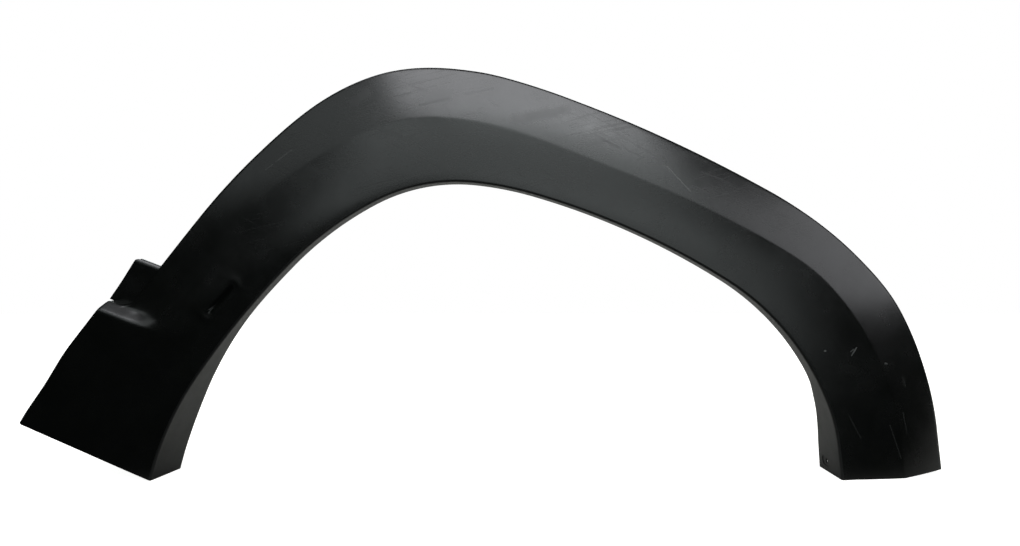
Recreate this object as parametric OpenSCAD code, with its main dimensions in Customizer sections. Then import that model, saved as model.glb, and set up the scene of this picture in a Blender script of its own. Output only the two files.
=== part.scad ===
// Wheel arch trim: one thin moulded panel that frames a wheel opening.
// It stands on its two feet, with X along the trim from the wide foot to the
// narrow one, Y from the face towards the vehicle body, and Z up.

/* [Wheel opening] */
// Height of the opening's crown above the feet
opening_rise = 344.5; // [330:0.5:360]
// Radius of the opening's edge at the crown
crown_r = 207; // [190:1:225]
// Radius of the edge over the shoulder, on the wide foot's side
shoulder_r = 393; // [360:1:425]
// Radius of the edge along the wide leg
leg_r = 971; // [900:1:1040]
// Radius of the edge where the wide leg nears its foot
foot_r = 366; // [335:1:395]
// Radius of the edge just past the crown, on the narrow foot's side
brow_r = 390; // [360:1:420]
// Radius of the edge along the haunch
haunch_r = 879; // [820:1:940]
// Radius of the edge round the lower corner
corner_r = 296; // [275:1:315]
// Radius of the edge where the narrow leg straightens
heel_r = 186; // [170:1:200]

/* [Band] */
// Width of the band at the wide foot, without its flare
foot_band = 143; // [134:1:152]
// Width of the band at its waist, above the wide foot
waist_band = 118.5; // [112:0.5:125]
// Width of the band at the crown
crown_band = 146; // [138:0.5:153]
// Width of the band along the haunch
haunch_band = 120.5; // [114:0.5:127]
// Width of the band at the narrow foot
heel_band = 135; // [128:1:142]
// How far the wide foot's pad flares out past the band
pad_flare = 27; // [22:1:32]
// How much of that flare the pad loses on its way up to the step
flare_taper = 5; // [3:0.5:7]
// Thickness of the moulded wall
wall = 2.8; // [2.4:0.1:3.2]

/* [Faces] */
// Width of the lower facet at the crown
crown_facet = 81; // [75:1:87]
// Width of the lower facet along the haunch
haunch_facet = 60; // [54:1:66]
// Width of the lower facet at the narrow foot
heel_facet = 77.5; // [71:0.5:84]
// Depth of the crease behind the opening's edge
facet_set = 10; // [7:0.5:13]
// Depth of the outer edge behind the opening's edge, along the arch
edge_set = 38; // [34:0.5:42]
// Depth of the outer edge behind the opening's edge, on the pad
pad_set = 7; // [5:0.5:10]
// Gentle outward swell of each facet
swell = 1.5; // [0.5:0.1:2.5]
// How far the feet fall back from the crown in plan
plan_bow = 8; // [5:0.5:12]

/* [Return flange and outer lip] */
// Depth of the return flange along the arch
flange = 29; // [24:1:34]
// Depth of the return flange at the wide foot
foot_flange = 64; // [56:1:72]
// Depth of the return flange at the narrow foot
heel_flange = 73; // [66:1:80]
// Lean of the wide foot's return flange into the opening
foot_lean = 10; // [6:1:14]
// Depth of the turned lip on the outer edge
lip = 7; // [5:0.5:10]

/* [Pad step and fixing tab] */
// Distance from the wide foot to the step above its pad
pad_len = 164.5; // [156:0.5:172]
// Length of the sloping step
step_len = 11; // [9:0.5:14]
// Height of the step from the pad down to the face above it
step_drop = 12; // [9:0.5:15]
// Length of the nook that rounds the face's outer edge into the step
nook_len = 9; // [7:0.5:12]
// Width of that nook
nook_w = 11; // [8:0.5:14]
// Length of the recessed tab above the step
tab_len = 57.5; // [50:0.5:64]
// Depth of the tab's floor behind the opening's edge at the crown
tab_set = 46; // [42:0.5:50]
// Extra reach of the tab's lower end past the pad's flare
tab_foot_reach = 0.5; // [0:0.5:2]
// Extra reach of the tab's top end past the pad's flare
tab_reach = 6.5; // [4:0.5:9]
// Depth of the turned end of the tab
tab_turn = 7; // [5:0.5:9]
// Radius of the tab's free corner
tab_corner = 5; // [3:0.5:7]

/* [Screw seat] */
// Diameter of the screw hole in the narrow foot's return flange
screw_d = 6.5; // [5:0.1:7.5]
// Height of the screw hole above the foot
screw_rise = 12.5; // [10:0.5:15]
// Depth of the screw hole behind the opening's edge
screw_set = 47; // [42:0.5:52]
// Length of the sunk seat round the screw hole
seat_len = 26; // [20:0.5:30]
// Height of the sunk seat
seat_h = 12; // [10:0.5:14]
// Depth of the sunk seat
seat_sink = 0.8; // [0.5:0.1:1.2]

/* [Clip seats and webs] */
// Number of clip seats on the back
clip_count = 9; // [6:1:11]
// Length of a clip seat along the band
clip_len = 24; // [20:1:28]
// Width of a clip seat across the band
clip_w = 20; // [17:1:24]
// Height of a clip seat's plate behind the band's outer edge
clip_rise = 8; // [5:0.5:11]
// Wall of a clip seat
clip_wall = 2; // [1.6:0.1:2.4]
// Width of the slot that takes the clip's neck
clip_slot = 8; // [6:0.5:10]
// Thickness of the stiffening webs
web_t = 1.8; // [1.4:0.1:2.4]
// Number of stiffening webs between two clip seats
webs_between = 1; // [1:1:3]
// How far webs and clip seats are rooted in the wall they stand on
root = 1; // [0.6:0.1:1.4]

/* [Hidden] */

// Turn of each arc of the opening's edge in degrees, from the crown's top
left_arcs = [[crown_r, 28], [shoulder_r, 17.5], [leg_r, 10], [foot_r, 20]];
right_arcs = [[crown_r, 6], [brow_r, 10], [haunch_r, 16], [corner_r, 38], [heel_r, 13.5]];

function sum(v, i = 0) = i >= len(v) ? 0 : v[i] + sum(v, i + 1);
function clamp(x) = min(1, max(0, x));
function ease(x) = let (c = clamp(x)) c * c * (3 - 2 * c);
function ease_between(s, a, b) = ease((s - a) / (b - a));
function arc_len(arc) = arc[0] * arc[1] * PI / 180;

// [across, height, slope angle] at a distance down one side of the crown
function down(arcs, d, i = 0, p = [0, 0], a = 0) =
    i == len(arcs) ? [p.x + d * cos(a), p.y - d * sin(a), a] :
    let (r = arcs[i][0], run = arc_len(arcs[i]),
         b = a + (d < run ? d / run : 1) * arcs[i][1],
         q = p + r * [sin(b) - sin(a), cos(b) - cos(a)])
    d < run ? [q.x, q.y, b] : down(arcs, d - run, i + 1, q, b);

// Length of one side: its arcs and then a straight run to the feet
function side_len(arcs) =
    let (run = sum([for (arc = arcs) arc_len(arc)]), e = down(arcs, run))
    run + (opening_rise + e.y) / sin(e.z);

left_len = side_len(left_arcs);
right_len = side_len(right_arcs);
edge_len = left_len + right_len;

// [x, z, heading] of the opening's edge at distance s from the wide foot
function edge_at(s) =
    s < left_len ?
        let (e = down(left_arcs, left_len - s)) [-e.x, opening_rise + e.y, e.z] :
        let (e = down(right_arcs, s - left_len)) [e.x, opening_rise + e.y, -e.z];

// Smooth curve through [position, value] rows
function slope(rows, i) =
    let (a = rows[max(0, i - 1)], b = rows[min(len(rows) - 1, i + 1)])
    (b[1] - a[1]) / (b[0] - a[0]);
function curve(rows, s, i = 0) =
    s > rows[i + 1][0] && i < len(rows) - 2 ? curve(rows, s, i + 1) :
    let (p = rows[i], q = rows[i + 1], h = q[0] - p[0], t = clamp((s - p[0]) / h))
    (1 - t) * (1 - t) * (1 + 2 * t) * p[1] + t * t * (3 - 2 * t) * q[1]
    + h * t * (1 - t) * ((1 - t) * slope(rows, i) - t * slope(rows, i + 1));

// Places along the edge that the shape changes at
step_top = pad_len + step_len;
tab_top = step_top + tab_len;
corner_run = 118;
corner_at = edge_len - corner_run;

// Angle of the band's cross-section at s: along the foot's cut on the wide
// leg, and square to the opening's edge from the shoulder on
foot_cut = 157;
leg_cut = 160;
heel_cut = 2;
function across(s) =
    let (leg = foot_cut + (leg_cut - foot_cut) * ease_between(s, 0, pad_len),
         square = edge_at(s)[2] + 90)
    s < left_len + 20 ? leg + (square - leg) * ease_between(s, tab_top - 40, left_len + 20)
                      : square + (heel_cut - square) * ease_between(s, edge_len - 90, edge_len);

band_rows = [
    [0, foot_band], [0.05 * edge_len, waist_band + 10], [0.1 * edge_len, waist_band + 6],
    [pad_len, waist_band + 4.5], [0.185 * edge_len, waist_band], [0.25 * edge_len, waist_band + 6],
    [0.33 * edge_len, waist_band + 15], [0.415 * edge_len, crown_band],
    [0.47 * edge_len, haunch_band + 16], [0.53 * edge_len, haunch_band + 6.5],
    [0.6 * edge_len, haunch_band + 1.5], [0.68 * edge_len, haunch_band],
    [0.76 * edge_len, haunch_band + 3.5], [0.83 * edge_len, heel_band - 2.5],
    [0.87 * edge_len, heel_band + 2.8], [0.9 * edge_len, heel_band + 2.5],
    [0.94 * edge_len, heel_band], [edge_len, heel_band]
];
function edge_band(s) = curve(band_rows, s);

// The pad's flare, and the nook where it falls back above the step
nook_lead = 1;
top_flare = pad_flare - flare_taper;
function flare(s) =
    let (t = clamp((s - step_top - nook_lead) / nook_len))
    s < step_top ? pad_flare - flare_taper * ease_between(s, 0.5 * pad_len, pad_len) :
    s < step_top + nook_lead ? top_flare + (nook_w - top_flare) * (s - step_top) / nook_lead :
    nook_w * (1 - sqrt(1 - (1 - t) * (1 - t)));
function band(s) = edge_band(s) + flare(s);

facet_rows = [
    [0, crown_facet + 8], [0.3 * edge_len, crown_facet + 5], [0.37 * edge_len, crown_facet + 1],
    [0.42 * edge_len, crown_facet], [0.47 * edge_len, haunch_facet + 13],
    [0.53 * edge_len, haunch_facet + 5], [0.6 * edge_len, haunch_facet],
    [0.68 * edge_len, haunch_facet + 1.5], [0.76 * edge_len, haunch_facet + 6.5],
    [0.83 * edge_len, heel_facet], [edge_len, heel_facet]
];
function facet(s) = curve(facet_rows, s);

flange_rows = [
    [0, foot_flange], [0.5 * pad_len, foot_flange - 7], [tab_top - 25, flange],
    [tab_top + 60, flange], [corner_at - 30, flange],
    [corner_at, flange + 3], [corner_at + 26, 0.45 * (flange + heel_flange)],
    [corner_at + 70, heel_flange - 8], [edge_len, heel_flange]
];
function flange_at(s) = curve(flange_rows, s);
function lean_at(s) = foot_lean * (1 - ease_between(s, 0, tab_top));

function bow_at(s) = plan_bow * pow(edge_at(s).x / 400, 2);
function edge_drop(s) =
    pad_set + (edge_set - pad_set - step_drop) * ease_between(s, pad_len, left_len - 60);

// Depth of the face at width w of the cross-section at s, behind the crown's edge
crease_from = 0.24;
crease_to = 0.36;
merge_from = left_len - 140;
merge_to = left_len + 40;
function wide_band(s) = edge_band(s) + pad_flare * (1 - ease_between(s, 0.4 * pad_len, tab_top + 20));
function face_depth(s, w) =
    let (f = facet(s), b = wide_band(s), outer = edge_drop(s),
         u = w / f, v = (w - f) / (b - f), merge = ease_between(s, merge_from, merge_to),
         creased = w < f ? facet_set * u - swell * 4 * u * (1 - u)
                         : facet_set + (outer - facet_set) * v - swell * 4 * v * (1 - v),
         plain = outer * pow(w / b, 1.7),
         step = step_drop * clamp((s - pad_len) / step_len) * (1 - merge) * ease_between(w / b, 0.45, 0.8),
         late = step_drop * merge * max(0, v))
    bow_at(s) + plain + (creased - plain) * ease_between(s, crease_from * edge_len, crease_to * edge_len)
    + step + late;

// Depth of the outer edge's turned lip at s, which reaches into the tab's floor
function lip_at(s) =
    lip + (tab_set + wall / 2 - lip - face_depth(s, band(s)))
        * (ease_between(s, step_top - 6, step_top) - ease_between(s, tab_top, tab_top + 5));

// Outer face of the cross-section at s: flange, rounded edge, facets, lip
edge_round = wall + 0.6;
facet_steps = [0.5, 1];
bevel_steps = [0.05, 0.25, 0.45, 0.65, 0.82];
function profile(s) =
    let (f = facet(s), b = band(s), bow = bow_at(s), yb = face_depth(s, b),
         r = edge_round, k = r * (1 - sin(45)))
    concat(
        [[-lean_at(s), bow + flange_at(s)], [0, bow + r], [k, bow + k]],
        [[r, face_depth(s, r)]],
        [for (u = facet_steps) [f * u, face_depth(s, f * u)]],
        [for (v = bevel_steps) let (w = f + (b - f) * v) [w, face_depth(s, w)]],
        [[b - r, face_depth(s, b - r)], [b - k, yb + k], [b, yb + r], [b, yb + lip_at(s)]]
    );

function unit(v) = v / norm(v);
function turn(v) = [-v.y, v.x];
// Point i of a line moved sideways by d, with its corners mitred
function beside(line, i, d) =
    let (a = i == 0 ? undef : turn(unit(line[i] - line[i - 1])),
         b = i == len(line) - 1 ? undef : turn(unit(line[i + 1] - line[i])),
         n = is_undef(a) ? b : is_undef(b) ? a : unit(a + b),
         m = is_undef(a) || is_undef(b) ? 1 : n * a)
    line[i] + n * d / m;
function inner(line, d) = [for (i = [0:len(line) - 1]) beside(line, i, d)];

// A [width, depth] point of the cross-section at s, in space; what leans into
// the opening goes level, so that the foot keeps its whole depth on the floor
function place(s, p) =
    let (e = edge_at(s), a = across(s))
    p.x < 0 ? [e.x - p.x, p.y, e.y] : [e.x + p.x * cos(a), p.y, e.y + p.x * sin(a)];

function ring(s) =
    let (front = profile(s), back = inner(front, wall))
    [for (p = concat(front, [for (i = [len(back) - 1:-1:0]) back[i]])) place(s, p)];

// Cross-sections stand closer together at the step, the tab and the corner
marks = [0, pad_len, step_top, step_top + nook_lead, step_top + nook_lead + nook_len, tab_top,
         tab_top + 5, corner_at - 20, corner_at + 50, edge_len];
gaps = [22, 4, nook_lead, 1.5, 14, 2.5, 20, 14, 20];
stations = concat([0], [for (i = [0:len(gaps) - 1])
    let (a = marks[i], b = marks[i + 1], n = ceil((b - a) / gaps[i]))
    for (k = [1:n]) a + (b - a) * k / n]);

rings = [for (s = stations) ring(s)];

// The origin lies on the floor, in the middle of the panel's length and depth
function middle(v) = (min(v) + max(v)) / 2;
origin = [
    middle([for (r = rings, p = r) p.x]),
    middle([for (r = rings, p = r) p.y]),
    min([for (r = rings, p = r) p.z])
];

module loft(rings) {
    n = len(rings[0]);
    last = len(rings) - 1;
    half = n / 2;
    polyhedron(
        points = [for (r = rings) each r],
        faces = concat(
            [for (i = [0:last - 1], j = [0:n - 1])
                let (k = (j + 1) % n, a = i * n)
                each [[a + j, a + k, a + n + k], [a + j, a + n + k, a + n + j]]],
            [for (j = [0:half - 2])
                each [[j, n - 1 - j, j + 1], [j + 1, n - 1 - j, n - 2 - j]]],
            [for (j = [0:half - 2]) let (a = last * n)
                each [[a + j, a + j + 1, a + n - 1 - j],
                      [a + j + 1, a + n - 2 - j, a + n - 1 - j]]]),
        convexity = 12);
}

// Children drawn in the plane of the cross-section at s, with X across the
// band and Y in depth, and thickened to both sides of it
module in_section(s, thick) {
    e = edge_at(s);
    translate([e.x, 0, e.y]) rotate([0, -across(s), 0])
        translate([0, 0, -thick / 2]) linear_extrude(thick) children();
}

// Children drawn in the XZ plane, from one depth to another
module in_front(from, to) {
    translate([0, to, 0]) rotate([90, 0, 0]) linear_extrude(to - from) children();
}

function flat(p) = [p.x, p.z];

// Arc of radius r that rounds the corner b of the line a, b, c
function rounded(a, b, c, r, steps = 5) =
    let (u = unit(a - b), v = unit(c - b), half = acos(u * v) / 2,
         mid = b + unit(u + v) * r / sin(half), from = turn(u), to = turn(v),
         p = b + u * r / tan(half) - mid, q = b + v * r / tan(half) - mid)
    [for (i = [0:steps]) mid + r * unit(p * (1 - i / steps) + q * i / steps)];

// Floor of the fixing tab with its rounded free corner and its turned end
module tab() {
    low = step_top - 2;
    high = tab_top - 1;
    sill = step_top + nook_lead;
    foot = flat(place(low, [edge_band(low) + top_flare - wall / 2, 0]));
    shoulder = flat(place(sill, [edge_band(sill) + pad_flare + tab_foot_reach, 0]));
    tip = flat(place(high, [edge_band(high) + pad_flare + tab_reach, 0]));
    nook = flat(place(high, [edge_band(high) - wall / 2, 0]));
    free = rounded(shoulder, tip, nook, tab_corner);
    seam = [for (k = [1:4]) let (s = high + (low - high) * k / 4)
        flat(place(s, [edge_band(s) - wall / 2, 0]))];
    in_front(tab_set, tab_set + wall) polygon(concat([foot, shoulder], free, [nook], seam));
    ledge = unit(shoulder - tip) * 0.4;
    across_end = [free[len(free) - 1], nook];
    in_front(tab_set + wall / 2, tab_set + tab_turn)
        polygon([for (d = [0, 1], p = d == 0 ? across_end : [nook, across_end[0]])
            p + ledge + d * unit(shoulder - tip) * wall]);
}

// Web across the channel of the band, from the flange to the outer lip
module web(s) {
    line = inner(profile(s), wall - root);
    n = len(line);
    b = band(s);
    in_section(s, web_t) polygon(concat(
        [for (i = [1:n - 2]) line[i]],
        [[b - wall + root, face_depth(s, b) + 0.7 * lip],
         [wall - root, bow_at(s) + 0.62 * flange_at(s)]]));
}

// Cheek of a clip seat: it is rooted in the face and runs into the plate
module cheek(s, shift, from, to, top) {
    e = edge_at(s);
    line = [for (w = [from, to]) [w, face_depth(s - shift, w) + wall - root]];
    translate([e.x, 0, e.y]) rotate([0, -across(s), 0])
        translate([0, 0, shift - clip_wall / 2]) linear_extrude(clip_wall)
            polygon(concat(line, [[to, top - clip_wall / 2], [from, top - clip_wall / 2]]));
}

// Clip seat: two cheeks that stand on the back of the face and carry a plate
// with a slot, which opens at the outer side and widens at its mouth
clip_share = 0.64;
clip_ledge = 0.5;
module clip_seat(s) {
    mid = clip_share * edge_band(s);
    from = mid - clip_w / 2;
    to = mid + clip_w / 2;
    top = face_depth(s, edge_band(s)) + clip_rise;
    for (side = [-1, 1])
        cheek(s, side * (clip_len / 2 - clip_wall), from + clip_ledge, to - clip_ledge, top);
    neck = clip_slot / 2;
    mouth = to - neck;
    end = mid - neck;
    slot = [[to, neck * 2], [mouth, neck], [end, neck], [end - neck / 2, neck / 2]];
    e = edge_at(s);
    translate([e.x, top - clip_wall, e.y]) rotate([-90, -across(s), 0])
        linear_extrude(clip_wall) polygon(concat(
            [[from, clip_len / 2], [to, clip_len / 2]], slot,
            [for (i = [3:-1:0]) [slot[i].x, -slot[i].y]],
            [[to, -clip_len / 2], [from, -clip_len / 2]]));
}

// Clip seats stand at even distances along the band, with webs between them
clip_pitch = edge_len / (clip_count + 0.2);
function clip_at(i) = (i + 0.6) * clip_pitch;

// Oblong sunk seat and its round hole, seen from the wheel opening
module screw_seat() {
    s = edge_len - screw_rise;
    e = edge_at(s);
    span = (seat_len - seat_h) / 2;
    translate([e.x, bow_at(s) + screw_set, e.y]) rotate([0, -e.z, 0]) {
        cylinder(h = 8 * wall, d = screw_d, center = true, $fn = 48);
        translate([0, 0, seat_sink - wall]) {
            for (y = [-span, span]) translate([0, y, 0]) cylinder(h = wall, d = seat_h, $fn = 48);
            translate([-seat_h / 2, -span, 0]) cube([seat_h, 2 * span, wall]);
        }
    }
}

module wheel_arch_trim() {
    color([0.1, 0.1, 0.11])
    translate(-origin) difference() {
        union() {
            loft(rings);
            tab();
            for (i = [0:clip_count - 1]) clip_seat(clip_at(i));
            for (i = [0:clip_count - 2], k = [1:webs_between])
                web(clip_at(i + k / (webs_between + 1)));
        }
        screw_seat();
    }
}

wheel_arch_trim();
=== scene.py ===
import math

import bmesh
import bpy
import numpy as np
from mathutils import Matrix, Vector


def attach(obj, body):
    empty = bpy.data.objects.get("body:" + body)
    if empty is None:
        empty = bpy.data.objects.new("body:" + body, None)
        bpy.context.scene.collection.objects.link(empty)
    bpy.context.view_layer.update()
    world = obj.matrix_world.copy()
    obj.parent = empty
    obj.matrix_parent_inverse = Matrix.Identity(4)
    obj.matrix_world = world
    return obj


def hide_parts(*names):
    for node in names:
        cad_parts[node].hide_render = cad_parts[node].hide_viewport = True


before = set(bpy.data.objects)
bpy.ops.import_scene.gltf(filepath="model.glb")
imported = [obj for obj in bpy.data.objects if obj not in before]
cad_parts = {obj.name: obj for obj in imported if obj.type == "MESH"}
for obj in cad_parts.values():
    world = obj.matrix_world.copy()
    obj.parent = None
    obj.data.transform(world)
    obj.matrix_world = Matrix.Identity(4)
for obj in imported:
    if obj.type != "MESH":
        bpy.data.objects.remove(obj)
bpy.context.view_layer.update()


# ---------------------------------------------------------------------------
# Moulded panel
# The trim is one injection moulding in black polypropylene, 2.8 mm thick. Its
# face has two facets that meet in a crease, its return flange lines the wheel
# opening, and its outer edge is turned back to a short lip.
# ---------------------------------------------------------------------------
MM = 0.001

# The opening's edge: its height, and the arcs (radius, turn in degrees) down each leg
OPENING_RISE = 345.9
LEFT_ARCS = [(207.0, 28.0), (393.0, 17.5), (971.0, 10.0), (366.0, 20.0)]
RIGHT_ARCS = [(207.0, 6.0), (390.0, 10.0), (879.0, 16.0), (296.0, 38.0), (186.0, 13.5)]

# The face: widths of the band and of its lower facet, how far back the crease, the outer
# edge and the pad lie, the facets' bulge, the bow in plan and the crease's rounding
FOOT_BAND, WAIST_BAND, CROWN_BAND, HAUNCH_BAND, HEEL_BAND = 143.0, 119.0, 146.5, 121.3, 135.5
CROWN_FACET, HAUNCH_FACET, HEEL_FACET = 81.0, 60.0, 77.5
FACET_SET, EDGE_SET, PAD_SET, SWELL = 10.0, 38.0, 7.0, 1.1
PLAN_BOW, BOW_REACH, CREASE_SOFT = 8.0, 400.0, 0.15

# The return flange along the opening, and the lip along the outer edge
FLANGE, FOOT_FLANGE, HEEL_FLANGE, HEEL_CORNER = 29.0, 64.0, 73.0, 118.0
FOOT_LEAN, LIP = 10.0, 7.0

# The pad on the wide leg with its ramp, flare and corner, and the nook and tab above it
PAD_LEN, STEP_LEN, STEP_DROP, PAD_FLARE, FLARE_TAPER = 168.0, 12.0, 12.0, 27.0, 2.6
PAD_CORNER, NOOK_S, NOOK_W, CHAMFER = 2.4, 9.0, 11.0, 0.5
TAB_LEN, TAB_SET = 58.2, 46.0

# The cut of the wide foot and of its pad, and of the narrow foot with its levelled middle
FOOT_CUT, PAD_CUT, HEEL_CUT, HEEL_LEVEL = 157.0, 160.0, 2.0, 2.6

WALL, EDGE_ROUND = 2.8, 3.4
PANEL_MIDDLE = (36.013, 41.605, 0.0)


def ease(x):
    """A smooth step from 0 to 1."""
    x = min(1.0, max(0.0, x))
    return x * x * (3 - 2 * x)


def ease_between(s, a, b):
    """A smooth step from 0 at a to 1 at b."""
    return ease((s - a) / (b - a))


def down_from_crown(arcs, distance):
    """Across, height and slope at a distance down one side of the opening's edge."""
    x = z = slope = 0.0
    for radius, turn in arcs:
        run = radius * math.radians(turn)
        end = slope + math.radians(turn) * min(1.0, distance / run)
        x += radius * (math.sin(end) - math.sin(slope))
        z += radius * (math.cos(end) - math.cos(slope))
        slope = end
        if distance < run:
            return x, z, slope
        distance -= run
    return x + distance * math.cos(slope), z - distance * math.sin(slope), slope


def side_length(arcs):
    """Length of one side: its arcs, and the straight run from them to the floor."""
    run = sum(radius * math.radians(turn) for radius, turn in arcs)
    z, slope = down_from_crown(arcs, run)[1:]
    return run + (OPENING_RISE + z) / math.sin(slope)


LEFT_LEN = side_length(LEFT_ARCS)
EDGE_LEN = LEFT_LEN + side_length(RIGHT_ARCS)
STEP_TOP = PAD_LEN + STEP_LEN
TAB_TOP = STEP_TOP + TAB_LEN
CORNER_AT = EDGE_LEN - HEEL_CORNER


def edge_at(s):
    """Place and heading of the opening's edge, measured from the wide foot."""
    if s < LEFT_LEN:
        x, z, slope = down_from_crown(LEFT_ARCS, LEFT_LEN - s)
        return -x, OPENING_RISE + z, slope
    x, z, slope = down_from_crown(RIGHT_ARCS, s - LEFT_LEN)
    return x, OPENING_RISE + z, -slope


def smooth_curve(rows, s):
    """A smooth curve through rows of (place, value), read at s."""
    last = len(rows) - 1

    def slope(i):
        a, b = rows[max(0, i - 1)], rows[min(last, i + 1)]
        return (b[1] - a[1]) / (b[0] - a[0])

    i = 0
    while s > rows[i + 1][0] and i < last - 1:
        i += 1
    p, q = rows[i], rows[i + 1]
    h = q[0] - p[0]
    t = min(1.0, max(0.0, (s - p[0]) / h))
    return ((1 - t) * (1 - t) * (1 + 2 * t) * p[1] + t * t * (3 - 2 * t) * q[1]
            + h * t * (1 - t) * ((1 - t) * slope(i) - t * slope(i + 1)))


BAND_ROWS = [
    (0, FOOT_BAND), (0.05 * EDGE_LEN, WAIST_BAND + 9.5), (0.1 * EDGE_LEN, WAIST_BAND + 5.5),
    (PAD_LEN, WAIST_BAND + 5), (0.185 * EDGE_LEN, WAIST_BAND + 4),
    (0.25 * EDGE_LEN, WAIST_BAND + 7.5), (0.33 * EDGE_LEN, WAIST_BAND + 15),
    (0.415 * EDGE_LEN, CROWN_BAND), (0.47 * EDGE_LEN, HAUNCH_BAND + 16),
    (0.53 * EDGE_LEN, HAUNCH_BAND + 6.5), (0.6 * EDGE_LEN, HAUNCH_BAND + 1.5),
    (0.68 * EDGE_LEN, HAUNCH_BAND), (0.76 * EDGE_LEN, HAUNCH_BAND + 3.5),
    (0.83 * EDGE_LEN, HEEL_BAND - 2.5), (0.87 * EDGE_LEN, HEEL_BAND + 2.8),
    (0.9 * EDGE_LEN, HEEL_BAND + 2.5), (0.94 * EDGE_LEN, HEEL_BAND), (EDGE_LEN, HEEL_BAND),
]
FACET_ROWS = [
    (0, CROWN_FACET + 8), (0.3 * EDGE_LEN, CROWN_FACET + 5), (0.37 * EDGE_LEN, CROWN_FACET + 1),
    (0.42 * EDGE_LEN, CROWN_FACET), (0.47 * EDGE_LEN, HAUNCH_FACET + 13),
    (0.53 * EDGE_LEN, HAUNCH_FACET + 5), (0.6 * EDGE_LEN, HAUNCH_FACET),
    (0.68 * EDGE_LEN, HAUNCH_FACET + 1.5), (0.76 * EDGE_LEN, HAUNCH_FACET + 6.5),
    (0.83 * EDGE_LEN, HEEL_FACET), (EDGE_LEN, HEEL_FACET),
]
FLANGE_ROWS = [
    (0, FOOT_FLANGE + 2), (0.5 * PAD_LEN, FOOT_FLANGE + 1), (PAD_LEN, FLANGE + 12),
    (TAB_TOP - 10, FLANGE), (TAB_TOP + 60, FLANGE), (CORNER_AT - 30, FLANGE),
    (CORNER_AT, FLANGE + 3), (CORNER_AT + 26, 0.45 * (FLANGE + HEEL_FLANGE)),
    (CORNER_AT + 70, HEEL_FLANGE - 8), (EDGE_LEN, HEEL_FLANGE),
]


def across(s):
    """Angle of the cross-section: along the foot's cut, then square to the edge."""
    leg = FOOT_CUT + (PAD_CUT - FOOT_CUT) * ease_between(s, 0, PAD_LEN)
    square = math.degrees(edge_at(s)[2]) + 90
    square_from = LEFT_LEN + 20
    if s < square_from:
        return math.radians(leg + (square - leg) * ease_between(s, TAB_TOP - 40, square_from))
    return math.radians(square + (HEEL_CUT - square) * ease_between(s, EDGE_LEN - 90, EDGE_LEN))


def plan_bow(s):
    """How far the band bows back, seen from above."""
    return PLAN_BOW * (edge_at(s)[0] / BOW_REACH) ** 2


def edge_band(s):
    """Width of the band without the pad's flare."""
    return smooth_curve(BAND_ROWS, s)


def pad_edge(s):
    """Width of the band with the pad's flare, which tapers a little toward the ramp."""
    return edge_band(s) + PAD_FLARE - FLARE_TAPER * ease_between(s, 0.5 * PAD_LEN, PAD_LEN)


# Stretches of the edge over which the crease and the facets' bulge come in, and over
# which the step spreads over the band and then passes into the facets
CREASE_FADE = (0.27 * EDGE_LEN, 0.40 * EDGE_LEN)
SWELL_FADE = (0.30 * EDGE_LEN, 0.46 * EDGE_LEN)
STEP_SPREAD = (STEP_TOP, TAB_TOP + 90)
STEP_FADE = (LEFT_LEN - 140, LEFT_LEN + 40)
# Shares of the width between which the step falls, and the curve of the plain face
STEP_SHARES, FALL_CURVE = (0.5, 0.83), 1.7
# Roundings of the ramp at its foot, and at its top outside and inside
RAMP_FOOT_SOFT, RAMP_TOP_SOFT, RAMP_INNER_SOFT = 0.03, 0.004, 0.09


def face_depth(s, w):
    """Depth of the face behind the crown's edge; its crease is slightly rounded."""
    facet = smooth_curve(FACET_ROWS, s)
    band = edge_band(s) + PAD_FLARE * (1 - ease_between(s, 0.4 * PAD_LEN, TAB_TOP + 20))
    outer = PAD_SET + (EDGE_SET - PAD_SET - STEP_DROP) * ease_between(s, PAD_LEN, LEFT_LEN - 60)
    passed_on = STEP_DROP * ease_between(s, *STEP_FADE)

    # Two facets, each with its bulge, that meet in the crease
    u, v = w / facet, (w - facet) / (band - facet)
    swell = 4 * SWELL * ease_between(s, *SWELL_FADE)
    low = FACET_SET * u - swell * max(0.0, u * (1 - u))
    high = FACET_SET + (outer - FACET_SET) * v - swell * max(0.0, v * (1 - v))
    high += passed_on * v
    creased = 0.5 * (low + high + math.sqrt((high - low) ** 2 + CREASE_SOFT ** 2))

    # The wide leg's face, which falls away in one curve
    share = max(0.0, w) / band
    plain = outer * share ** FALL_CURVE
    plain += passed_on * max(0.0, v)

    # The step at the ramp falls in the outer half, and beyond the ramp over the whole width
    spread = ease_between(s, *STEP_SPREAD)
    side = (1 - spread) * ease_between(share, *STEP_SHARES) + spread * share ** FALL_CURVE
    step = (STEP_DROP * step_ramp((s - PAD_LEN) / STEP_LEN, share) * side
            * (1 - ease_between(s, *STEP_FADE)))
    return plan_bow(s) + plain + (creased - plain) * ease_between(s, *CREASE_FADE) + step


def step_ramp(t, share):
    """Straight ramp from 0 to 1: tight at its foot, and at its top tight outside, wide inside."""
    low = 0.5 * (t + math.sqrt(t * t + RAMP_FOOT_SOFT))
    rest = 1 - low
    top_soft = RAMP_TOP_SOFT + RAMP_INNER_SOFT * (1 - ease_between(share, 0.82, 0.95))
    return 1 - 0.5 * (rest + math.sqrt(rest * rest + top_soft))


def place(s, w, depth):
    """A point at width w and a depth on the cross-section at s, in millimetres."""
    x, z = edge_at(s)[:2]
    if w < 0:
        return x - w, depth, z
    a = across(s)
    level = (HEEL_LEVEL * ease_between(s, EDGE_LEN - 60, EDGE_LEN)
             * max(0.0, 1 - abs(w / HEEL_FACET - 1) * 1.3))
    return x + w * math.cos(a), depth, z + w * math.sin(a) - level


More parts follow.
